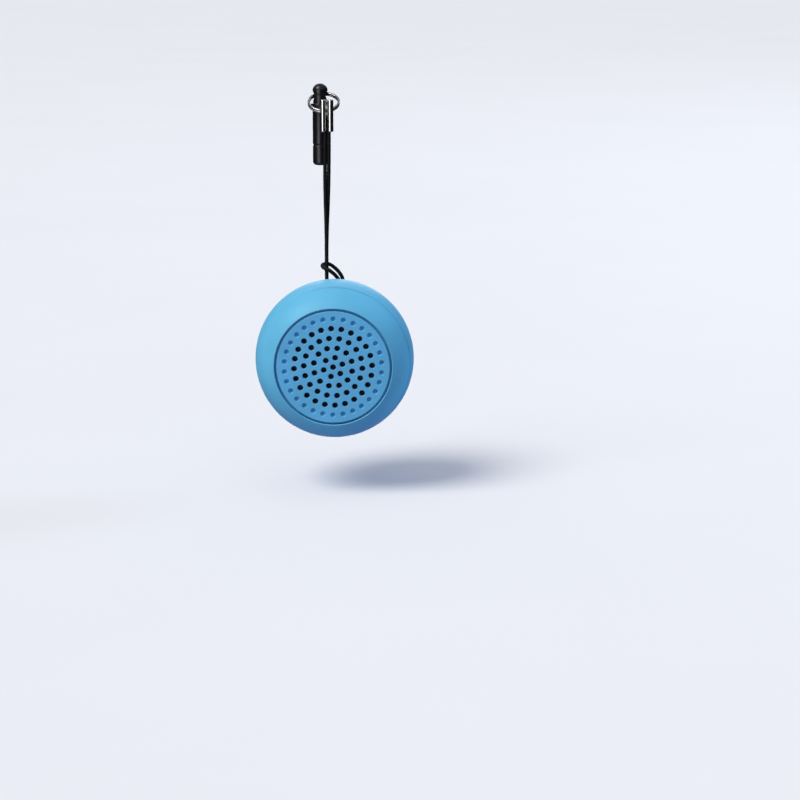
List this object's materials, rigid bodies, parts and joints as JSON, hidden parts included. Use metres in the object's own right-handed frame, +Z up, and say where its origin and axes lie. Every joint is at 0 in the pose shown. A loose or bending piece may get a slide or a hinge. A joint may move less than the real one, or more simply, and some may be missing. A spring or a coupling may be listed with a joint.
{
  "type": "lanyard speaker",
  "caption": "Palm-size ball speaker with a perforated front grille, hung on a cord loop, crimp and split ring from a headphone-jack plug.",
  "frame": {"origin": "on the plug axis at the underside of the plug head, where it seats on the phone", "axes": "+Z up out of the jack, -Z along the plug stem, -Y the way the grille faces, +X to the right of a viewer who faces the grille"},
  "size_m": [0.036, 0.0256, 0.0793],
  "materials": {
    "jack_plug": "black moulded plastic, slight gloss",
    "split_ring": "nickel-plated spring wire",
    "crimp_ferrule": "nickel-plated folded sheet",
    "lanyard_cord": "black braided nylon",
    "strap_pin": "turned steel",
    "front_shell": "sky-blue soft-touch coat",
    "rear_shell": "sky-blue soft-touch coat",
    "grille_plate": "sky-blue soft-touch coat",
    "grille_cloth": "black acoustic cloth",
    "driver_gasket": "black foam",
    "driver_basket": "black painted steel",
    "surround": "black butyl",
    "cone": "black pressed paper",
    "dust_dome": "black film",
    "voice_coil": "copper winding on a paper former",
    "top_plate": "zinc-plated steel",
    "magnet": "nickel-plated neodymium",
    "yoke_cup": "zinc-plated steel",
    "terminal_strip": "phenolic board",
    "foam_pad": "grey foam",
    "battery": "foil pouch cell",
    "circuit_board": "green solder mask",
    "main_chip": "black epoxy",
    "amplifier_chip": "black epoxy",
    "passives": "ceramic chips",
    "tact_switch": "black plastic",
    "tact_plunger": "white plastic",
    "button_cap": "sky-blue plastic",
    "usb_socket": "plated steel shell",
    "slide_switch": "plated steel frame",
    "power_slider": "black plastic",
    "indicator_led": "epoxy lens",
    "light_pipe": "clear acrylic",
    "microphone": "aluminium can",
    "rear_cover": "sky-blue soft-touch coat",
    "foot_ring": "black rubber",
    "board_screws": "zinc-plated steel",
    "cover_screws": "zinc-plated steel",
    "speaker_leads": "red insulation",
    "battery_leads": "red insulation"
  },
  "bodies": {
    "plug": {"jack_plug": "jack_plug"},
    "ring": {"split_ring": "split_ring"},
    "lanyard": {"crimp_ferrule": "crimp_ferrule", "lanyard_cord": "lanyard_cord"},
    "diaphragm": {"cone": "cone", "dust_dome": "dust_dome", "voice_coil": "voice_coil"},
    "button": {"button_cap": "button_cap", "tact_plunger": "tact_plunger"},
    "slider": {"power_slider": "power_slider"},
    "speaker": {"strap_pin": "strap_pin", "front_shell": "front_shell", "rear_shell": "rear_shell", "grille_plate": "grille_plate", "grille_cloth": "grille_cloth", "driver_gasket": "driver_gasket", "driver_basket": "driver_basket", "surround": "surround", "top_plate": "top_plate", "magnet": "magnet", "yoke_cup": "yoke_cup", "terminal_strip": "terminal_strip", "foam_pad": "foam_pad", "battery": "battery", "circuit_board": "circuit_board", "main_chip": "main_chip", "amplifier_chip": "amplifier_chip", "passives": "passives", "tact_switch": "tact_switch", "usb_socket": "usb_socket", "slide_switch": "slide_switch", "indicator_led": "indicator_led", "light_pipe": "light_pipe", "microphone": "microphone", "rear_cover": "rear_cover", "foot_ring": "foot_ring", "board_screws": "board_screws", "cover_screws": "cover_screws", "speaker_leads": "speaker_leads", "battery_leads": "battery_leads"}
  },
  "joints": [
    {"name": "ring_swing", "type": "hinge", "parent": "plug", "child": "ring", "pos_m": [0, 0, 0.0023], "axis": [1, 0, 0], "range_deg": [-236, 0]},
    {"name": "lanyard_swing", "type": "hinge", "parent": "ring", "child": "lanyard", "pos_m": [0.0017, -0.00511, -0.00065], "axis": [1, 0, 0], "range_deg": [-90, 8]},
    {"name": "speaker_swing", "type": "hinge", "parent": "lanyard", "child": "speaker", "pos_m": [0.0033, -0.005, -0.0423], "axis": [0, 1, 0], "range_deg": [-25, 25]},
    {"name": "diaphragm_travel", "type": "slide", "parent": "speaker", "child": "diaphragm", "axis": [0, -1, 0], "range_m": [-0.0004, 0.0004], "stiffness_N_per_m": 900, "deforming": ["surround"]},
    {"name": "button_press", "type": "slide", "parent": "speaker", "child": "button", "axis": [0, -1, 0], "range_m": [0, 0.0003], "stiffness_N_per_m": 3000},
    {"name": "power_slide", "type": "slide", "parent": "speaker", "child": "slider", "axis": [1, 0, 0], "range_m": [0, 0.002]}
  ]
}
